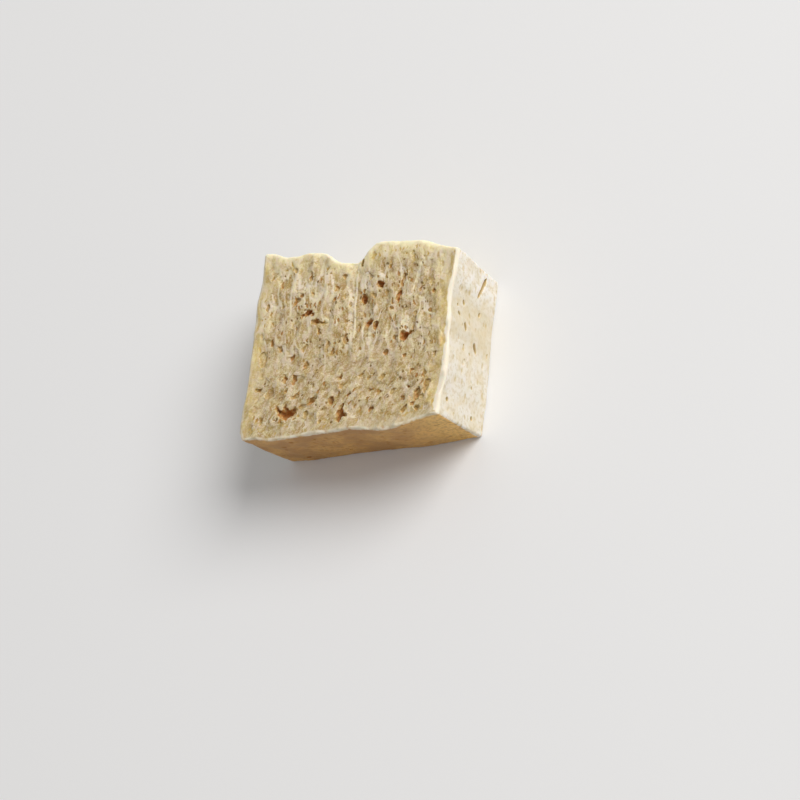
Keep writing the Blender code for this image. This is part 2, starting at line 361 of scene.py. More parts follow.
def torn_pattern(tree, place):
    """The values of the torn face at a place in millimetres, each from 0 to 1, and its height."""
    swayed = sway(tree, place, SWAY)
    calm_place = sway(tree, place, CALM_SWAY)
    x, y, _ = axes(tree, place)
    slant = ease(tree, y, SLANT_FROM, SLANT_TO)
    far = fibre_layer(tree, swayed, calm_place, FAR_TURN, FAR_LAYER)
    near = fibre_layer(tree, swayed, calm_place, NEAR_TURN, NEAR_LAYER)
    out = {name: blend_values(tree, slant, far[name], near[name]) for name in far}
    out["crease"] = crease(tree, x, y)
    crowd = ease(tree, noise(tree, place, PIT_PATCH, 2.0), 0.42, 0.56)
    for name in ("pit", "small_pit"):
        out[name] = times(tree, out[name], crowd)
    out["crumb"] = noise(tree, place, 0.55, 2.0)
    hue = noise(tree, vector_maths(tree, "MULTIPLY", place, (1.0, 0.6, 1.0)), 1.1, 2.0)
    out["hue"] = ease(tree, hue, 0.4, 0.6)
    out["clear"] = ease(tree, noise(tree, place, 3.0, 2.0), 0.35, 0.6)
    out["some"] = ease(tree, noise(tree, place, 9.0, 1.0), 0.36, 0.5)
    out["height"] = stack_heights(tree, out, TORN_HEIGHTS, TORN_SINK)
    return out


# %% [markdown]
# ## The skin
#
# The walls of the block set against the mould or were cut with a knife, so they are closed: soft
# dimples, fine pits, and faint level lines. Their pattern is solid, so it runs round the corners.


# %% Pattern of the skin
SKIN_LINE_SCALE = (0.16, 0.16, 1.3)  # squeezed along Z, so the lines are level
SKIN_PIT_SCALE = (0.6, 0.36, 0.6)
SKIN_HEIGHTS = (("dimple", 0.4), ("line", 0.1), ("pit", -0.14))
SKIN_SINK = 0.25  # what the skin sinks, in millimetres, to make up for its rises


def skin_pattern(tree, place):
    """The values of the skin at a place in millimetres, and its height."""
    pit_place = vector_maths(tree, "MULTIPLY", warp(tree, place, 1.5, 1.2), SKIN_PIT_SCALE)
    grain = voronoi(tree, pit_place, "F1", "3D")
    chosen = ease(tree, grain.outputs["Color"], 0.62, 0.68)
    out = {
        "dimple": noise(tree, place, 3.2, 3.0),
        "line": noise(tree, vector_maths(tree, "MULTIPLY", place, SKIN_LINE_SCALE), 1.0, 2.0),
        "pit": times(tree, chosen, ease(tree, grain.outputs["Distance"], 0.42, 0.18)),
    }
    out["height"] = stack_heights(tree, out, SKIN_HEIGHTS, SKIN_SINK)
    return out


# %% [markdown]
# ## The block
#
# The solid already has the slab, its worn arrises and its large pores, so it is a better start than
# a cube would be. A copy of its mesh is taken, and the corners that its flat triangles share are
# merged, so that modifiers see one closed skin.

# %% Copy of the solid
block = bpy.data.objects.new("sponge_block", solid.data.copy())
bpy.context.scene.collection.objects.link(block)
pick_only(block)
bpy.ops.object.mode_set(mode="EDIT")
bpy.ops.mesh.select_all(action="SELECT")
bpy.ops.mesh.remove_doubles(threshold=0.001 * MM)
bpy.ops.object.mode_set(mode="OBJECT")
print("block of", len(block.data.polygons), "triangles")

# %% [markdown]
# ## Small pores
#
# The small pores are still missing, and the large ones have too even a rim. Both are cut with blobs:
# a pore is a chain of up to five of them, which makes it ragged, and a rim gets small bites. Sculpting
# could do it too, but a Boolean gives the same pores each time. Blobs that touch go into two separate
# clouds, because a cutter may not run through itself.

# %% Where the pores are
# Small dark pores that stand out on the face: x, y and width in millimetres.
LANDMARKS = (
    (-17.7, -13.6, 1.0), (-18.8, -22.4, 1.1), (12.8, 9.5, 1.0), (12.7, 7.3, 0.8), (5.2, -10.7, 0.9),
    (7.8, -11.5, 0.9), (-5.1, 14.8, 1.3), (-5.3, 11.4, 1.1), (-12.6, 13.7, 0.8), (23.7, -2.9, 1.0),
    (18.3, -6.1, 1.0), (11.4, -15.9, 0.8), (-2.6, -23.4, 0.8), (-6.1, -23.2, 0.8), (-17.9, 15.4, 0.7),
    (-20.5, -21.7, 0.8), (-12.9, -20.8, 0.9), (-20.6, -18.4, 0.9), (-14.2, -22.0, 0.8),
)

# The pores that stay deep, and soft ochre pits near the rim: x, y, length along Y and width.
DEEP_PORES = (
    (-17.4, -19.6, 5.0, 7.0), (-0.2, -20.4, 5.6, 4.0), (3.2, 11.1, 3.8, 3.0), (6.4, 3.9, 3.6, 4.4),
    (17.4, -0.4, 3.6, 4.0), (8.1, 14.9, 2.8, 3.2), (-13.7, 8.4, 2.8, 3.6), (14.4, 11.0, 5.0, 2.2),
)
RIM_SPOTS = (
    (29.7, -2.6, 3.2, 1.8), (-23.5, 18.9, 2.4, 1.4), (-13.9, 18.9, 2.0, 1.6), (24.6, 13.8, 2.6, 1.4),
    (27.9, 11.2, 2.4, 1.2), (18.2, 21.2, 2.0, 1.6), (5.6, 23.2, 1.8, 1.4), (-27.4, 2.0, 2.6, 1.6),
    (-26.2, -8.6, 2.4, 1.6), (27.0, -9.0, 3.0, 1.6), (-19.6, 21.6, 1.8, 1.2), (11.4, 20.6, 2.2, 1.2),
)

print(len(LANDMARKS), "small dark pores,", len(DEEP_PORES), "deep ones and", len(RIM_SPOTS), "soft pits")

# %% [markdown]
# ## The cutters
#
# A blob is a small icosphere with its points pushed about at random, squashed to a length, a width
# and a depth. Four of them serve for all pores, as their turn and squash hide that they repeat. A
# ray shot at the block finds where a chain of blobs starts, so it works on the face and the walls.


# %% Pores
ROOM = 1.2  # a blob is rough, so it takes more room than its radius
UNDER = 0.15  # how far under the surface the middle of a blob lies, as a share of the pore's depth


def blob_mesh(rng):
    """One roughened ball of radius 1, the pattern for every blob of a chain."""
    bpy.ops.mesh.primitive_ico_sphere_add(subdivisions=2, radius=1.0, location=(0, 0, 0))
    ball = bpy.context.active_object
    bpy.ops.object.mode_set(mode="EDIT")
    bpy.ops.transform.vertex_random(offset=0.4, uniform=0.0, normal=0.5, seed=rng.randrange(1000))
    bpy.ops.object.mode_set(mode="OBJECT")
    mesh = ball.data
    bpy.data.objects.remove(ball)
    return mesh


def cut_direction(x, y):
    """The way that the cells run at a place on the face."""
    share = min(max((SLANT_FROM - y) / (SLANT_FROM - SLANT_TO), 0.0), 1.0)
    return FAR_TURN + (NEAR_TURN - FAR_TURN) * share * share * (3 - 2 * share)


class Pores:
    """Two clouds of blobs that are cut out of the block one after the other."""

    def __init__(self, target, rng):
        self.tree = BVHTree.FromObject(target, bpy.context.evaluated_depsgraph_get())
        self.rng = rng
        self.balls = [blob_mesh(rng) for _ in range(4)]
        self.clouds = ([], [])
        self.taken = ([], [])

    def add(self, place, outward, along, size, cloud):
        """One blob of size length, width and depth, if its cloud has room for it."""
        length, width, depth = size
        radius = max(length, width) / 2 * ROOM
        if any((place - other).length < radius + reach for other, reach in self.taken[cloud]):
            return
        across = outward.cross(along).normalized()
        along = across.cross(outward)
        basis = Matrix((along * length / 2, across * width / 2, outward * depth)).transposed()
        self.clouds[cloud].append((self.rng.choice(self.balls), Matrix.Translation(place) @ basis.to_4x4()))
        self.taken[cloud].append((place, radius))

    def chain(self, start, way, turn, width, depth, links):
        """A ragged pore: links blobs from where a ray hits the block, each a step on from the last."""
        rng = self.rng
        for link in range(links):
            hit = self.tree.ray_cast(start, way)[0]
            if hit is None:
                return
            sideways = Vector((0, 0, 1)).cross(-way) if abs(way.z) < 0.5 else Vector((1, 0, 0))
            along = Matrix.Rotation(turn, 3, -way) @ sideways.normalized()
            size = (width * rng.uniform(1.0, 1.7), width, depth * rng.uniform(0.7, 1.2))
            middle = hit + way * depth * UNDER
            self.add(middle, -way, along, size, link % 2)
            turn += rng.uniform(-1.2, 1.2)
            start = start + along * width * rng.uniform(0.5, 0.9)
            width *= rng.uniform(0.6, 1.15)

    def cut(self, target):
        for number, cloud in enumerate(self.clouds):
            copies = []
            for mesh, matrix in cloud:
                copy = bpy.data.objects.new("blob", mesh.copy())
                copy.matrix_world = matrix
                bpy.context.scene.collection.objects.link(copy)
                copies.append(copy)
            pick_only(*copies)
            bpy.ops.object.join()
            cutter = copies[0]
            print("cloud", number, "of", len(cloud), "blobs")
            apply_modifier(target, "BOOLEAN", operation="DIFFERENCE", solver="MANIFOLD", object=cutter)
            bpy.data.objects.remove(cutter)


# %% [markdown]
# ## Scattering them
#
# Pores crowd in a band across the middle of the face, are rarer elsewhere, and differ in size and
# depth: most are small. The bites go to edges where the face drops into a pore. The walls get ten
# shallow pits each.


# %% Scatter
# Rays start well above the face and well beside the walls, in millimetres.
ABOVE = 50
BESIDE = 80
DOWN = Vector((0, 0, -1))

# How far inside the block's box pores, bites and wall pits stay, and the heights of the wall pits.
PORE_GAP_X, PORE_GAP_Y = 3 * MM, 3.5 * MM
BITE_GAP_X, BITE_GAP_Y = 3 * MM, 5 * MM
WALL_GAP = 4 * MM
WALL_LOW, WALL_HIGH = 2.0, 22.5

# The band where pores crowd: y at x 0, how much it climbs with x, and its half width.
BAND_Y = 4
BAND_CLIMB = 0.14
BAND_REACH = 9

# How much a face looks up at a rim: one side is level, and the other drops into a pore.
LEVEL = 0.9
DROP = 0.6


def scatter_face(pores, rng, count=14):
    half = (high - low) / 2
    for _ in range(count):
        x = rng.uniform(-1, 1) * (half.x - PORE_GAP_X)
        y = rng.uniform(-1, 1) * (half.y - PORE_GAP_Y)
        middle = math.exp(-((y / MM - BAND_CLIMB * x / MM - BAND_Y) / BAND_REACH) ** 2)
        chance = 0.4 + 0.6 * middle
        if rng.random() > chance:
            continue
        turn = cut_direction(x / MM, y / MM) + rng.uniform(-0.6, 0.6)
        width = (0.35 + 0.5 * rng.random() ** 2) * MM
        links = rng.choice((1, 2, 2, 3, 4, 5))
        depth = width * rng.uniform(0.35, 1.0) ** 1.5
        pores.chain(Vector((x, y, ABOVE * MM)), DOWN, turn, width, depth, links)


def nibble_rims(pores, target, rng, share=0.22):
    """Small bites out of the rims of the pores that the solid has, which are too even."""
    faces = target.data.polygons
    normals = {}
    for face in faces:
        for key in face.edge_keys:
            normals.setdefault(key, []).append(face.normal.z)
    for key, (first, second) in normals.items():
        if max(first, second) < LEVEL or min(first, second) > DROP or rng.random() > share:
            continue
        place = (target.data.vertices[key[0]].co + target.data.vertices[key[1]].co) / 2
        inside = abs(place.x) < high.x - BITE_GAP_X and abs(place.y) < high.y - BITE_GAP_Y
        if not inside:
            continue
        width = rng.uniform(0.35, 0.8) * MM
        turn = rng.uniform(0, math.pi)
        along = Vector((math.cos(turn), math.sin(turn), 0))
        size = (width * rng.uniform(1.0, 1.8), width, width * rng.uniform(0.5, 1.2))
        pores.add(place, Vector((0, 0, 1)), along, size, rng.choice((0, 1)))


def scatter_walls(pores, rng, count=10):
    for way in ((-1, 0, 0), (1, 0, 0), (0, -1, 0), (0, 1, 0)):
        way = Vector(way)
        run = Vector((0, 0, 1)).cross(way)
        reach = high.y if way.x else high.x
        for _ in range(count):
            start = -way * BESIDE * MM + run * rng.uniform(-1, 1) * (reach - WALL_GAP)
            start.z = rng.uniform(WALL_LOW, WALL_HIGH) * MM
            width = rng.uniform(0.5, 1.0) * MM
            turn = rng.uniform(-0.7, 0.7)
            depth = width * rng.uniform(0.25, 0.6)
            pores.chain(start, way, turn, width, depth, rng.choice((1, 2, 3)))


rng = random.Random(5)
pores = Pores(block, rng)
for x, y, width in LANDMARKS:
    start = Vector((x, y, ABOVE)) * MM
    turn = cut_direction(x, y) + rng.uniform(-0.5, 0.5)
    pores.chain(start, DOWN, turn, 0.85 * width * MM, width * MM, 2)
for x, y, _, width in RIM_SPOTS:
    start = Vector((x, y, ABOVE)) * MM
    pores.chain(start, DOWN, FAR_TURN, width * MM, 0.16 * width * MM, 2)
nibble_rims(pores, block, rng)
scatter_face(pores, rng)
scatter_walls(pores, rng)
pores.cut(block)

# %% [markdown]
# ## Even faces
#
# Relief needs small faces of one size everywhere. Subdividing would keep the long thin triangles
# that the cuts left, so the block is rebuilt from voxels of a fifth of a millimetre instead, and a
# few rounds of smoothing take the facets out.

# %% Even faces
VOXEL = 0.2 * MM
apply_modifier(block, "REMESH", mode="VOXEL", voxel_size=VOXEL)
apply_modifier(block, "SMOOTH", factor=0.5, iterations=4)

# %% [markdown]
# ## Distance to the rim
#
# Towards its rim the torn face is smoother and yellower, as the soy there set against the mould. So
# each point stores how far it is from the outside of the block, and which wall is the nearest. A
# ring of rays shot at the block from outside finds that outline.


# %% Rim
RIM_LEVEL = 22.0 * MM  # a height where the walls are still upright
OUTSIDE = 0.1  # metres from the middle, well outside the block


def outline_at(tree, level, steps=1440, span=4):
    """Points around the block's outside at a level, and the way that the wall faces at each."""
    points = []
    for step in range(steps):
        turn = 2 * math.pi * step / steps
        way = Vector((math.cos(turn), math.sin(turn), 0))
        points.append(tree.ray_cast(way * OUTSIDE + Vector((0, 0, level)), -way)[0])
    ways = []
    for index in range(steps):
        chord = points[(index + span) % steps] - points[index - span]
        ways.append(Vector((chord.y, -chord.x, 0)).normalized())
    return points, ways


def store(mesh, name, values):
    attribute = mesh.attributes.get(name) or mesh.attributes.new(name, "FLOAT", "POINT")
    attribute.data.foreach_set("value", values)


def measure_rim(obj, outline, ways):
    nearest = kdtree.KDTree(len(outline))
    for index, point in enumerate(outline):
        nearest.insert((point.x, point.y, 0), index)
    nearest.balance()
    rim, facing_x, facing_y = [], [], []
    for vertex in obj.data.vertices:
        _, index, distance = nearest.find((vertex.co.x, vertex.co.y, 0))
        rim.append(distance / MM)
        facing_x.append(ways[index].x)
        facing_y.append(ways[index].y)
    store(obj.data, "rim", rim)
    store(obj.data, "facing_x", facing_x)
    store(obj.data, "facing_y", facing_y)
    print("rim up to", round(max(rim), 1), "mm away")


smooth_tree = BVHTree.FromObject(block, bpy.context.evaluated_depsgraph_get())
outline, ways = outline_at(smooth_tree, RIM_LEVEL)
measure_rim(block, outline, ways)

# %% [markdown]
# ## Level of the face
#
# How deep a point lies in a pore can be told only from the height that the face has around the pore.
# The highest point in each cell of a coarse grid gives that height, and points in between blend the
# four grid cells around them. NumPy does it for all points at once.


# %% Level
def read_points(mesh, kind):
    """The places ("co") or the normals ("normal") of a mesh's points, one row each."""
    values = np.empty(len(mesh.vertices) * 3)
    mesh.vertices.foreach_get(kind, values)
    return values.reshape(-1, 3)


def measure_level(obj, cell=2.5):
    """The height of the face over its pores, from a grid with cells of a size in millimetres."""
    places = read_points(obj.data, "co") / MM
    steps = (places[:, :2] - places[:, :2].min(axis=0)) / cell + 0.5
    corner = np.floor(steps).astype(int)
    share = steps - corner
    column, row = np.floor(steps + 0.5).astype(int).T
    grid = np.zeros((column.max() + 2, row.max() + 2))
    np.maximum.at(grid, (column, row), places[:, 2])
    level = 0.0
    for right in (0, 1):
        for up in (0, 1):
            weight = np.abs(1 - right - share[:, 0]) * np.abs(1 - up - share[:, 1])
            level = level + weight * grid[corner[:, 0] + right, corner[:, 1] + up]
    store(obj.data, "level", level)
    print("level of the face from", round(float(level.min()), 1), "to", round(float(level.max()), 1), "mm")


measure_level(block)

# %% [markdown]
# ## Relief
#
# A Geometry Nodes modifier moves the points, first sideways and then in and out. Sideways noise frays
# the outlines of the pores, and their floors come up by more than half, as torn cells are shallow,
# apart from the deep pores. Then the patterns push the surface along its normals: the torn one where
# it is on top and looks up, and the skin elsewhere. All fades out towards the back, which stays flat.
# A Displace modifier could do only the last part. Decimate takes back points where it came out even.


# %% Relief
FRAY = ((1.4, 1.7), (0.7, 0.4))  # size of the waves that fray a pore, and their reach
SPARED = 0.5  # what lies less than this under the level of the face isn't lifted, in millimetres

# The share of its depth that the floor of a pore rises: at least, more in patches, and in a deep one.
LIFT = 0.55
MORE_LIFT = 0.3
DEEP_LIFT = 0.45

MOST_TRIANGLES = 190000


def fray_offset(tree, place, rim, level):
    """How far a point moves to fray and lift the pores, in metres. Only points inside the face move."""
    frayed = sway(tree, place, FRAY)
    push = vector_maths(tree, "MULTIPLY", vector_maths(tree, "SUBTRACT", frayed, place), (MM, MM, 0))
    z = axes(tree, place)["Z"]
    spared_level = maths(tree, "SUBTRACT", level, SPARED)
    sunk = maths(tree, "MAXIMUM", maths(tree, "SUBTRACT", spared_level, z), 0.0)
    uneven = ease(tree, noise(tree, place, 4.0, 1.0), 0.42, 0.58)
    share = maths(tree, "MULTIPLY_ADD", uneven, MORE_LIFT, LIFT)
    deep = DEEP_PORES + tuple((x, y, 2.2 * width, 2.2 * width) for x, y, width in LANDMARKS)
    share = blend_values(tree, spots(tree, place, deep), share, DEEP_LIFT)
    lift = tree.nodes.new("ShaderNodeCombineXYZ")
    feed(tree, lift.inputs["Z"], times(tree, sunk, share, MM))
    push = vector_maths(tree, "ADD", push, lift.outputs[0])
    inside = times(tree, ease(tree, rim, 1.0, 3.0), ease(tree, z, 15.0, 18.0))
    return vector_maths(tree, "SCALE", push, inside)


def relief_height(tree, place, normal, rim):
    """How far a point moves along its normal, in millimetres."""
    z = axes(tree, place)["Z"]
    facing_up = ease(tree, axes(tree, normal)["Z"], 0.3, 0.8)
    torn = times(tree, facing_up, ease(tree, z, 21.5, 23.0))
    calm = maths(tree, "MULTIPLY_ADD", ease(tree, rim, 1.5, 4.0), 0.4, 0.6)
    skin = times(tree, skin_pattern(tree, place)["height"], ease(tree, z, 0.05, 0.8))
    return blend_values(tree, torn, skin, times(tree, torn_pattern(tree, place)["height"], calm))


def stored_value(tree, name):
    node = tree.nodes.new("GeometryNodeInputNamedAttribute")
    node.inputs["Name"].default_value = name
    return node.outputs[0]


def relief_tree():
    tree = bpy.data.node_groups.new("relief", "GeometryNodeTree")
    tree.interface.new_socket("Geometry", in_out="INPUT", socket_type="NodeSocketGeometry")
    tree.interface.new_socket("Geometry", in_out="OUTPUT", socket_type="NodeSocketGeometry")
    geometry = tree.nodes.new("NodeGroupInput").outputs[0]
    place = vector_maths(tree, "SCALE", tree.nodes.new("GeometryNodeInputPosition").outputs[0], 1 / MM)
    normal = tree.nodes.new("GeometryNodeInputNormal").outputs[0]
    rim = stored_value(tree, "rim")
    level = stored_value(tree, "level")
    height = times(tree, relief_height(tree, place, normal, rim), MM)
    relief = vector_maths(tree, "SCALE", normal, height)
    for offset in (fray_offset(tree, place, rim, level), relief):
        move = tree.nodes.new("GeometryNodeSetPosition")
        tree.links.new(geometry, move.inputs["Geometry"])
        feed(tree, move.inputs["Offset"], offset)
        geometry = move.outputs[0]
    tree.links.new(geometry, tree.nodes.new("NodeGroupOutput").inputs[0])
    return tree


apply_modifier(block, "NODES", node_group=relief_tree())
triangles_now = 2 * len(block.data.polygons)  # each remeshed face has four sides
apply_modifier(block, "DECIMATE", ratio=MOST_TRIANGLES / triangles_now)
print("triangles", len(block.data.polygons))

# %% [markdown]
# ## Openness
#
# Deep in a pore the light has bounced off soy many times, so it is brown there, and cream on the
# open surface; the brown is painted shade in the colour. How open each point is comes from a fan of
# short rays: those that hit the block again are blocked.


# %% Openness
def ray_fan(count=24, lowest=0.2, span=0.76):
    """Directions spread over the half sphere about +Z."""
    golden = math.pi * (3 - math.sqrt(5))
    fan = []
    for i in range(count):
        z = lowest + span * (i + 0.5) / count
        reach = math.sqrt(1 - z * z)
        fan.append(Vector((reach * math.cos(i * golden), reach * math.sin(i * golden), z)))
    return fan


def measure_openness(obj, reach=6 * MM, lift=0.05 * MM):
    tree = BVHTree.FromObject(obj, bpy.context.evaluated_depsgraph_get())
    fan = ray_fan()
    openness = []
    for vertex in obj.data.vertices:
        turn = Vector((0, 0, 1)).rotation_difference(vertex.normal).to_matrix()
        start = vertex.co + vertex.normal * lift
        free = sum(tree.ray_cast(start, turn @ way, reach)[0] is None for way in fan)
        openness.append(free / len(fan))
    store(obj.data, "openness", openness)
    print("openness from", round(min(openness), 2), "to", round(max(openness), 2))


measure_rim(block, outline, ways)
measure_openness(block)

# %% [markdown]
# ## Crests
#
# The rim of each pore is a thin wall of soy, so it gets a pale colour that is partly its own and partly a
# painted highlight, and a crease gets painted shade, duller than the face around it. How far a point stands
# out is its distance from the average of its neighbours, and of theirs in turn. The Pointiness of the
# Geometry node says much the same, but can't be exported.


# %% Crests
def measure_crests(obj, rounds=4):
    """How far each point stands out of the surface around it, in millimetres."""
    mesh = obj.data
    places = read_points(mesh, "co") / MM
    normals = read_points(mesh, "normal")
    ends = np.empty(len(mesh.edges) * 2, dtype=np.int64)
    mesh.edges.foreach_get("vertices", ends)
    first, second = ends.reshape(-1, 2).T
    neighbours = np.bincount(first, minlength=len(places)) + np.bincount(second, minlength=len(places))
    around = places
    for _ in range(rounds):
        total = np.zeros_like(around)
        np.add.at(total, first, around[second])
        np.add.at(total, second, around[first])
        around = (around + total) / (neighbours[:, None] + 1)
    rise = ((places - around) * normals).sum(axis=1)
    store(mesh, "crest", rise)
    print("hollows and crests, in mm", np.percentile(rise, (2, 98)).round(3))


measure_crests(block)

# %% [markdown]
# ## Colours
#
# Soy curd runs from nearly white, where it stands up in thin sheets, through cream and tan. The
# orange-brown deep in a pore and the dark of the pits are painted shade. A colour wheel would do to pick
# each one by eye. Here they are linear red, green and blue, and each has a name, so that the recipes below
# read like words.

# %% Palette
# The torn face, with painted shade for its pits and its pores.
CREAM = (0.445, 0.315, 0.127, 1)
PALE = (0.655, 0.56, 0.385, 1)
BRIGHT = (0.78, 0.71, 0.55, 1)
TAN = (0.38, 0.253, 0.068, 1)
ROSE = (0.405, 0.266, 0.09, 1)
OLIVE = (0.345, 0.205, 0.042, 1)
BROWN_SHADE = (0.42, 0.2, 0.055, 1)
DOT_SHADE = (0.235, 0.145, 0.042, 1)
UMBER_SHADE = (0.46, 0.297, 0.073, 1)
EMBER_SHADE = (0.52, 0.27, 0.075, 1)
DEEP_PORE_SHADE = (0.535, 0.245, 0.063, 1)

# These two tint what is there already, so they are near 1.
OLIVE_CAST = (1.0, 1.01, 0.93, 1)
ROSE_CAST = (1.01, 0.99, 1.06, 1)

# The rim of the face, and the painted highlights on its edges.
YELLOW = (0.585, 0.448, 0.18, 1)
OCHRE = (0.52, 0.38, 0.14, 1)
AMBER = (0.58, 0.405, 0.11, 1)
FAR_RIM_HIGHLIGHT = (0.90, 0.82, 0.54, 1)
RIM_PALE = (0.78, 0.68, 0.42, 1)
RIM_ROSE = (0.62, 0.50, 0.30, 1)
FAR_EDGE_HIGHLIGHT = (0.90, 0.84, 0.59, 1)
EDGE_HIGHLIGHT = (0.785, 0.73, 0.61, 1)

# The walls, with painted shade on the near one and partly painted light on the end one.
SKIN = (0.70, 0.635, 0.49, 1)
END_SKIN_AND_LIGHT = (0.785, 0.75, 0.69, 1)
SPECKLE = (0.575, 0.49, 0.325, 1)
NEAR_PAINTED_SHADE = (0.60, 0.325, 0.088, 1)
NEAR_SHADE = (0.41, 0.205, 0.058, 1)
NEAR_END = (0.86, 0.545, 0.16, 1)

# %% [markdown]
# ## Where a point is
#
# The recipes ask again and again how far a point is from the rim, and which wall is near it, so that
# is worked out once. Borders that follow an even distance look drawn, so two slow noises push them
# about: one in small waves and one in large.


# %% Places and blending
def blend_colours(tree, share, first, second):
    """A Mix node keeps its colours in inputs 6 and 7, and gives the blend as output 2."""
    node = tree.nodes.new("ShaderNodeMix")
    node.data_type = "RGBA"
    feed(tree, node.inputs[0], share)
    feed(tree, node.inputs[6], first)
    feed(tree, node.inputs[7], second)
    return node.outputs[2]


def attribute(tree, name):
    node = tree.nodes.new("ShaderNodeAttribute")
    node.attribute_name = name
    return node.outputs["Fac"]


def where_on_block(tree):
    """Sockets that say where a point is. Lengths are in millimetres, and all else runs from 0 to 1."""
    place = tree.nodes.new("ShaderNodeTexCoord").outputs["Object"]
    here = SimpleNamespace(mm=vector_maths(tree, "SCALE", place, 1 / MM))
    here.x, here.y, here.z = axes(tree, here.mm)
    here.rim = attribute(tree, "rim")
    here.wobble = noise(tree, here.mm, 2.2, 2.0)
    swell = noise(tree, here.mm, 5.0, 3.0)
    here.torn = times(tree, ease(tree, here.rim, 0.3, 0.9), ease(tree, here.z, 19.0, 21.0))

    # Which wall is the nearest, and what is on the near wall itself.
    here.far = ease(tree, attribute(tree, "facing_y"), 0.5, 0.8)
    here.near = ease(tree, attribute(tree, "facing_y"), -0.5, -0.8)
    here.end = ease(tree, attribute(tree, "facing_x"), 0.4, 0.8)
    here.near_wall = times(tree, here.near, ease(tree, here.z, 24.6, 24.0))

    # How far in a point is: past the yellow rim, past the very edge, and well inside.
    inner = ease(tree, maths(tree, "MULTIPLY_ADD", swell, 10.0, here.rim), 6.0, 12.0)
    here.inner = maths(tree, "MAXIMUM", inner, times(tree, here.near, 0.8))
    here.soft = maths(tree, "MULTIPLY_ADD", here.inner, 0.5, 0.5)
    here.calm = ease(tree, here.rim, 0.5, 2.5)
    here.well_inside = ease(tree, maths(tree, "MULTIPLY_ADD", swell, 4.0, here.rim), 4.0, 8.0)
    here.patch = noise(tree, here.mm, 7.0, 3.0)
    return here


# %% [markdown]
# ## Colour of the torn face
#
# The ground is cream with tan patches, and near the rim it is yellow with ochre streaks. On it go
# the same hollows, sheets, flecks and strands that shaped the surface, so each ridge is pale and each
# hollow tan. One image texture could hold all that, but it would blur close up, and this doesn't.


# %% Face colour
def rim_colour(tree, here):
    """Yellow with a painted highlight at the far edge, with ochre and pale streaks and a rose mottle."""
    streak = noise(tree, vector_maths(tree, "MULTIPLY", here.mm, (1.0, 0.16, 0.3)), 1.1, 3.0)
    mottle = noise(tree, here.mm, 1.1, 2.0)
    # Painted highlight along the far side of the rim.
    colour = blend_colours(tree, here.far, YELLOW, FAR_RIM_HIGHLIGHT)
    ochre = times(tree, ease(tree, streak, 0.5, 0.62), maths(tree, "MULTIPLY_ADD", here.far, -0.3, 0.75))
    colour = blend_colours(tree, ochre, colour, OCHRE)
    colour = blend_colours(tree, times(tree, ease(tree, streak, 0.48, 0.4), 0.5), colour, RIM_PALE)
    rose = times(tree, ease(tree, mottle, 0.5, 0.62), ease(tree, here.far, 1.0, 0.0), 0.6)
    return blend_colours(tree, rose, colour, RIM_ROSE)


def ground_colour(tree, here, tan):
    """Cream with tan patches, with painted light towards the narrow end and the far side, inside the rim's
    own colour.
    """
    colour = blend_colours(tree, times(tree, ease(tree, here.patch, 0.4, 0.66), 0.7), CREAM, tan)
    # Painted light towards the narrow end and the far side.
    painted_light = times(tree, ease(tree, here.x, 4.0, 24.0), ease(tree, here.y, -6.0, 12.0), 0.28)
    colour = blend_colours(tree, painted_light, colour, PALE)
    colour = blend_colours(tree, here.inner, rim_colour(tree, here), colour)
    return blend_colours(tree, here.rim_spots, colour, AMBER)


def face_colour(tree, here, face):
    """Each layer is blended over the ones before it, by the product of its shares."""
    tan = blend_colours(tree, face["hue"], TAN, ROSE)
    hollow = blend_colours(tree, here.inner, OCHRE, tan)
    pale = blend_colours(tree, here.inner, RIM_PALE, PALE)
    grit = noise(tree, here.mm, 0.42, 2.0)
    crest = attribute(tree, "crest")
    colour = ground_colour(tree, here, tan)
    for shares, layer in (
        ((face["hole"], here.soft, 0.6), hollow),
        ((face["grain"], here.soft, 0.5), hollow),
        ((face["sheet"], here.soft, 0.9), pale),
        ((face["wall"], face["clear"], here.soft, 0.6), pale),
        ((face["fleck"], here.soft, 0.6), PALE),
        ((ease(tree, grit, 0.52, 0.64), here.soft, 0.4), BRIGHT),
        ((ease(tree, grit, 0.46, 0.34), here.soft, 0.4), OLIVE),
        ((face["vein"], face["some"], here.soft, 0.85), BRIGHT),
        ((face["crease"],), BRIGHT),
        # Painted shade in the hollows of the surface, and a partly painted highlight on its crests.
        ((ease(tree, crest, -0.02, -0.07), 0.4), hollow),
        ((ease(tree, crest, 0.02, 0.08), here.calm, 0.5), PALE),
    ):
        colour = blend_colours(tree, times(tree, *shares), colour, layer)
    cast = blend_colours(tree, face["hue"], OLIVE_CAST, ROSE_CAST)
    return vector_maths(tree, "MULTIPLY", colour, cast)


def paint_pit_shade(tree, here, face, colour):
    """Painted shade in the pits: small ones are dark dots, a larger one is olive with brown in its middle,
    and amber near the rim.
    """
    for name, start, full, inner_colour in (
        ("small_pit", 0.2, 0.7, DOT_SHADE), ("pit", 0.1, 0.5, OLIVE), ("pit", 0.4, 0.9, BROWN_SHADE),
    ):
        pit_shade = blend_colours(tree, here.well_inside, AMBER, inner_colour)
        share = times(tree, ease(tree, face[name], start, full), here.calm)
        colour = blend_colours(tree, share, colour, pit_shade)
    return colour
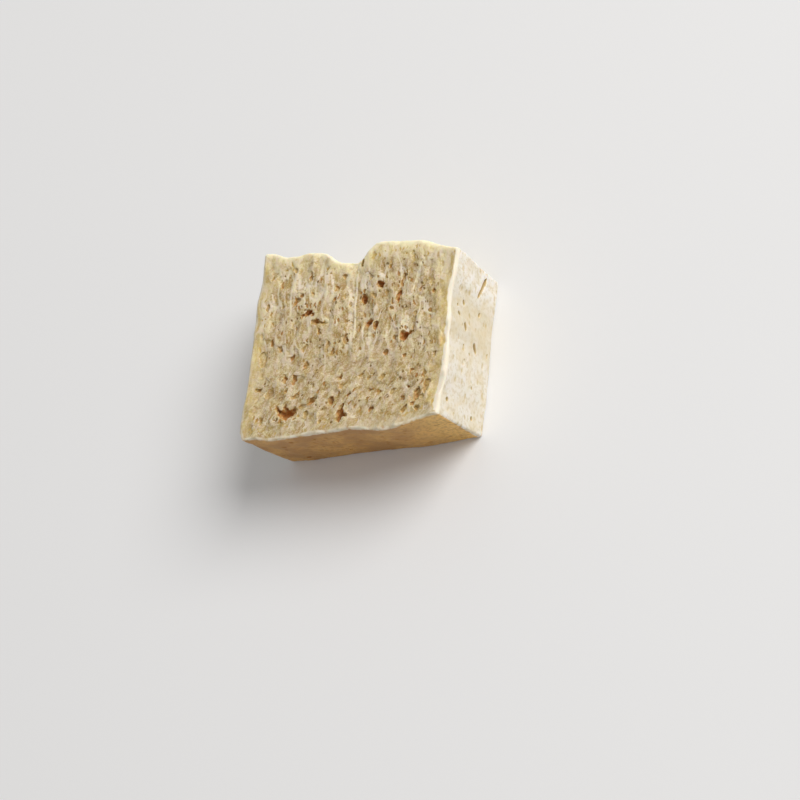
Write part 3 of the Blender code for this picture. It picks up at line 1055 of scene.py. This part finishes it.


# %% [markdown]
# ## Colour of the walls
#
# The end wall is nearly white with fine darker speckles, and the far and left ones are a little
# yellower. The near wall carries painted shade, a caramel brown: a light could make it dark, but over a
# pale floor it would come out grey, so the shade is painted into its colour, and it is lighter towards the
# narrow end.


# %% Wall colour
def wall_colour(tree, here, skin):
    """Pale walls with speckles and yellow dimples, painted shade on the near one and across the end one, and
    painted shade in the pits on all.
    """
    speckle = noise(tree, here.mm, 0.95, 3.0)
    # The end wall is whiter partly in its own skin and partly by painted light, as it faces the lamp.
    wall = blend_colours(tree, here.end, SKIN, END_SKIN_AND_LIGHT)
    # Painted shade over the end wall, strongest across its middle and fading out towards the far end.
    end_shade_band = maths(tree, "MULTIPLY_ADD", ease(tree, here.y, -8.0, 3.0), 0.35, 0.2)
    wall = blend_colours(tree, times(tree, end_shade_band, here.end, ease(tree, here.y, 18.0, 9.0)), wall, SPECKLE)
    wall = blend_colours(tree, times(tree, ease(tree, speckle, 0.48, 0.64), 0.55), wall, SPECKLE)
    wall = blend_colours(tree, times(tree, ease(tree, skin["dimple"], 0.6, 0.35), 0.3), wall, YELLOW)
    # Painted shade on the near wall: caramel brown with a darker mottle, lighter towards the narrow end.
    near_painted_shade = blend_colours(tree, ease(tree, here.patch, 0.35, 0.65), NEAR_PAINTED_SHADE, NEAR_SHADE)
    near_painted_shade = blend_colours(tree, ease(tree, here.x, 12.0, 32.0), near_painted_shade, NEAR_END)
    near_painted_shade = blend_colours(tree, times(tree, ease(tree, speckle, 0.42, 0.66), 0.55), near_painted_shade, NEAR_SHADE)
    wall = blend_colours(tree, here.near_wall, wall, near_painted_shade)
    # Painted shade in the pits of the walls, browner on the near one.
    pit_shade = blend_colours(tree, here.near, OCHRE, BROWN_SHADE)
    return blend_colours(tree, times(tree, skin["pit"], 0.6), wall, pit_shade)


# %% [markdown]
# ## Colour of the edges and the pores
#
# An edge that catches the light gets a painted highlight, nearly white: a crest along the far edge, a line
# down the end, and a broken thread along the near edge. In a pore the colour is painted shade that follows
# how open the place is, from umber at its mouth to a warm brown at its floor, and to a redder brown in the
# deep ones.


# %% Edge and pore colours
def paint_edge_highlights(tree, here, colour):
    # Painted highlight along the far edge, and the paler end of the near one.
    crest = maths(tree, "MULTIPLY_ADD", here.wobble, 3.0, here.rim)
    crest = times(tree, here.far, ease(tree, crest, 3.2, 1.5), ease(tree, here.z, 23.2, 23.8))
    colour = blend_colours(tree, crest, colour, FAR_EDGE_HIGHLIGHT)
    near_end = times(tree, here.near, ease(tree, here.x, -8.0, 12.0), here.torn)
    colour = blend_colours(tree, times(tree, near_end, ease(tree, here.rim, 3.5, 0.8), 0.4), colour, PALE)

    # Painted highlight down the end, which stops at soft pits, and in a broken thread along the near edge.
    reach = maths(tree, "MULTIPLY_ADD", ease(tree, here.y, 8.0, -16.0), -0.7, here.rim)
    reach = maths(tree, "MULTIPLY_ADD", here.wobble, 1.2, reach)
    no_spot = maths(tree, "SUBTRACT", 1.0, here.rim_spots)
    arris = times(tree, here.end, no_spot, ease(tree, reach, 1.5, 1.25))
    stretches = times(tree, ease(tree, here.wobble, 0.4, 0.55), 0.7)
    thread = times(tree, here.near, ease(tree, here.rim, 0.75, 0.45), stretches)
    edge_highlight = times(tree, maths(tree, "MAXIMUM", arris, thread), ease(tree, here.z, 23.6, 24.2))
    return blend_colours(tree, edge_highlight, colour, EDGE_HIGHLIGHT)


def paint_pore_shade(tree, here, colour):
    openness = attribute(tree, "openness")
    inside = times(tree, here.well_inside, here.torn)
    outside = blend_colours(tree, here.near_wall, OCHRE, BROWN_SHADE)
    mouth_shade = blend_colours(tree, inside, outside, UMBER_SHADE)
    deep = blend_colours(tree, spots(tree, here.mm, DEEP_PORES), EMBER_SHADE, DEEP_PORE_SHADE)
    bottom_shade = blend_colours(tree, inside, outside, deep)
    # Painted shade: umber where a pore closes in, and a deeper brown at its floor.
    colour = blend_colours(tree, times(tree, ease(tree, openness, 0.95, 0.6), 0.7), colour, mouth_shade)
    return blend_colours(tree, ease(tree, openness, 0.55, 0.25), colour, bottom_shade)


# %% [markdown]
# ## The material
#
# Soy curd lets light in a little way and gives it back softly. A see-through shader would show the
# far side, so this one has subsurface scattering, of well under a millimetre and a little longer for
# red than for blue. A fine bump stands for the grain of the curd, which is too small for faces.


# %% Tofu
def tofu_material():
    material = bpy.data.materials.new("thawed_tofu")
    material.use_nodes = True
    tree = material.node_tree
    shader = tree.nodes["Principled BSDF"]
    here = where_on_block(tree)
    here.rim_spots = spots(tree, here.mm, RIM_SPOTS)
    face = torn_pattern(tree, here.mm)
    colour = paint_pit_shade(tree, here, face, face_colour(tree, here, face))
    wall = wall_colour(tree, here, skin_pattern(tree, here.mm))
    colour = blend_colours(tree, here.torn, wall, colour)
    colour = paint_pore_shade(tree, here, paint_edge_highlights(tree, here, colour))
    feed(tree, shader.inputs["Base Color"], colour)
    shader.inputs["Roughness"].default_value = 0.6
    shader.inputs["Subsurface Weight"].default_value = 0.9
    shader.inputs["Subsurface Radius"].default_value = (1.0, 0.8, 0.6)
    shader.inputs["Subsurface Scale"].default_value = 0.7 * MM
    bump = tree.nodes.new("ShaderNodeBump")
    bump.inputs["Strength"].default_value = 0.3
    bump.inputs["Distance"].default_value = 0.1 * MM
    feed(tree, bump.inputs["Height"], noise(tree, here.mm, 0.35, 2.0))
    feed(tree, shader.inputs["Normal"], bump.outputs[0])
    print("tofu material of", len(tree.nodes), "nodes")
    return material


block.data.materials.clear()
block.data.materials.append(tofu_material())
pick_only(block)
bpy.ops.object.shade_smooth()
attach(block, "root")
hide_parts("tofu_block")

# %% [markdown]
# ## Floor
#
# A pale matt sheet carries the block, as wide as the camera can see. Its colour hardly varies, but a
# slow noise keeps it from looking like a flat fill.


# %% Floor
FLOOR_DARK = (0.803, 0.81, 0.828, 1)
FLOOR_LIGHT = (0.823, 0.83, 0.848, 1)


def floor_material():
    material = bpy.data.materials.new("pale_floor")
    material.use_nodes = True
    tree = material.node_tree
    shader = tree.nodes["Principled BSDF"]
    place = tree.nodes.new("ShaderNodeTexCoord").outputs["Object"]
    cloud = noise(tree, place, 0.4, 2.0)
    feed(tree, shader.inputs["Base Color"], blend_colours(tree, cloud, FLOOR_DARK, FLOOR_LIGHT))
    shader.inputs["Roughness"].default_value = 0.9
    return material


bpy.ops.mesh.primitive_plane_add(size=8.0, location=(0, 0, 0))
floor = bpy.context.active_object
floor.name = "floor"
floor.data.materials.append(floor_material())
floor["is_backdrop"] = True
print("floor", round(floor.dimensions.x, 1), "m wide")

# %% [markdown]
# ## Light
#
# One broad, slightly warm disk stands beyond the narrow end and the far edge, so the end wall is
# brightest and the near wall is in shade. It is large for its distance, which gives soft shadows in
# the pores, and an even warm world fills them. The Standard view shows colours as they are.

# %% Lights
KEY_WAY = Vector((0.64, 0.42, 0.62)).normalized()
KEY_DISTANCE = 2.6
KEY_SIZE = 1.8
KEY_POWER = 64.5
KEY_COLOUR = (1.0, 0.985, 0.955)
BLOCK_MIDDLE = Vector((0, 0, 12 * MM))
WORLD_COLOUR = (1.0, 0.975, 0.945, 1)
WORLD_STRENGTH = 0.40

light = bpy.data.lights.new("key", "AREA")
light.shape = "DISK"
light.size = KEY_SIZE
light.energy = KEY_POWER
light.color = KEY_COLOUR
key = bpy.data.objects.new("key", light)
key.location = BLOCK_MIDDLE + KEY_WAY * KEY_DISTANCE
key.rotation_euler = (-KEY_WAY).to_track_quat("-Z", "Y").to_euler()
bpy.context.scene.collection.objects.link(key)

world = bpy.data.worlds.new("studio")
world.use_nodes = True
background = world.node_tree.nodes["Background"]
background.inputs["Color"].default_value = WORLD_COLOUR
background.inputs["Strength"].default_value = WORLD_STRENGTH
bpy.context.scene.world = world
bpy.context.scene.view_settings.view_transform = "Standard"
print("key light of", light.energy, "W")

# %% [markdown]
# ## Size
#
# The sizes of the finished block and of its solid are printed side by side. The finished block has
# to stay within a few hundredths of the size of its solid.

# %% Size of the dressed block
new_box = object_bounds()
boxes = {"cad": cad_box, "visual": new_box}
for name, box in boxes.items():
    print(name, [round(side / MM, 2) for side in box[1] - box[0]], "mm")
